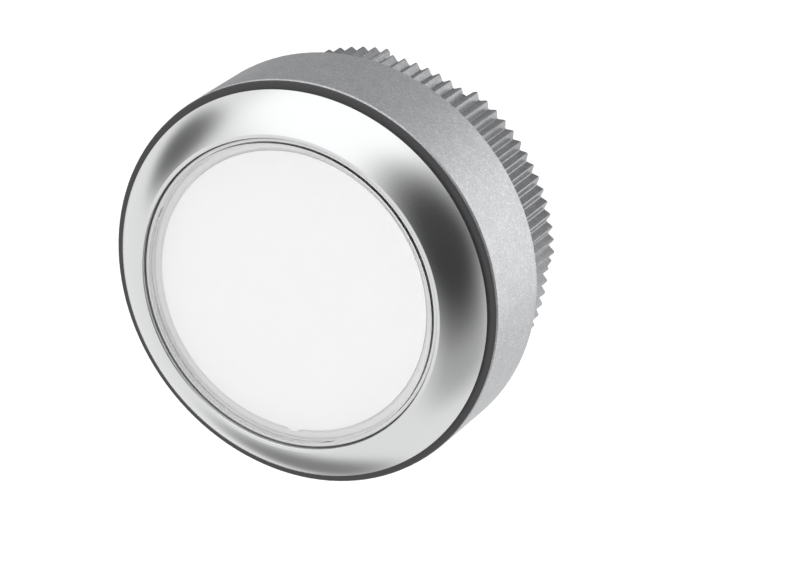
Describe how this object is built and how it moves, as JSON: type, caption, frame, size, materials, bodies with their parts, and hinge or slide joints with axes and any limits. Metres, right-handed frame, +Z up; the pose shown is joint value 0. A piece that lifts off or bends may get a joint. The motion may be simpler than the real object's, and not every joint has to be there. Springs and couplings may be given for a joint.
{
  "type": "panel pilot light",
  "caption": "Round panel pilot light: milky lens in a satin-chrome front ring, grey collar and threaded barrel, ribbed ring nut, screw terminals.",
  "frame": {"origin": "centre of the collar's rear face, on the lamp's axis, where the collar meets the panel", "axes": "-Y out of the lens towards the viewer, +Y back through the panel, +Z up with the lens lobe at the bottom, +X to the viewer's right"},
  "size_m": [0.03, 0.0223, 0.03],
  "materials": {
    "grey_paint": "fine metallic grey",
    "satin_chrome": "satin plated",
    "charcoal": "fine matt",
    "clear_lens": "polished clear",
    "milk_plastic": "milky, smooth",
    "black_rubber": "matt",
    "white_plastic": "smooth white",
    "board_green": "solder resist",
    "lamp_package": "phosphor in a white package",
    "chip_black": "moulded",
    "chip_tan": "fired ceramic",
    "zinc_steel": "zinc plated",
    "nut_grey": "fine metallic grey",
    "block_black": "moulded",
    "contact_brass": "rolled",
    "screw_steel": "nickel plated"
  },
  "bodies": {
    "lamp": {"housing": "grey_paint", "bezel": "satin_chrome", "trim_ring": "charcoal", "lens_cap": "clear_lens", "diffuser": "milk_plastic", "lens_seal": "black_rubber", "reflector": "white_plastic", "led_board": "board_green", "led_chips": "lamp_package", "resistors": "chip_black", "rectifier": "chip_black", "capacitor": "chip_tan", "panel_gasket": "black_rubber", "terminal_block": "block_black", "terminal_plate_1": "contact_brass", "terminal_plate_2": "contact_brass"},
    "washer": {"lock_washer": "zinc_steel"},
    "nut": {"ring_nut": "nut_grey"},
    "clamp_1": {"wire_clamp_1": "zinc_steel"},
    "screw_1": {"terminal_screw_1": "screw_steel"},
    "clamp_2": {"wire_clamp_2": "zinc_steel"},
    "screw_2": {"terminal_screw_2": "screw_steel"}
  },
  "joints": [
    {"name": "washer_slide", "type": "slide", "parent": "lamp", "child": "washer", "axis": [0, 1, 0], "range_m": [0, 0.0045]},
    {"name": "nut_turn", "type": "hinge", "parent": "washer", "child": "nut", "pos_m": [0, 0, 0], "axis": [0, 1, 0], "range_deg": [0, 1080]},
    {"name": "clamp_1_slide", "type": "slide", "parent": "lamp", "child": "clamp_1", "axis": [0, 1, 0], "range_m": [0, 0.0015]},
    {"name": "screw_1_turn", "type": "hinge", "parent": "clamp_1", "child": "screw_1", "pos_m": [-0.0043, 0.011, 0], "axis": [0, 1, 0], "range_deg": [0, 1080]},
    {"name": "clamp_2_slide", "type": "slide", "parent": "lamp", "child": "clamp_2", "axis": [0, 1, 0], "range_m": [0, 0.0015]},
    {"name": "screw_2_turn", "type": "hinge", "parent": "clamp_2", "child": "screw_2", "pos_m": [0.0043, 0.011, 0], "axis": [0, 1, 0], "range_deg": [0, 1080]}
  ],
  "couplings": [
    {"joint": "washer_slide", "follows": "nut_turn", "m_per_rad": 0.00023873},
    {"joint": "screw_1_turn", "follows": "clamp_1_slide", "rad_per_m": 12566},
    {"joint": "screw_2_turn", "follows": "clamp_2_slide", "rad_per_m": 12566}
  ]
}
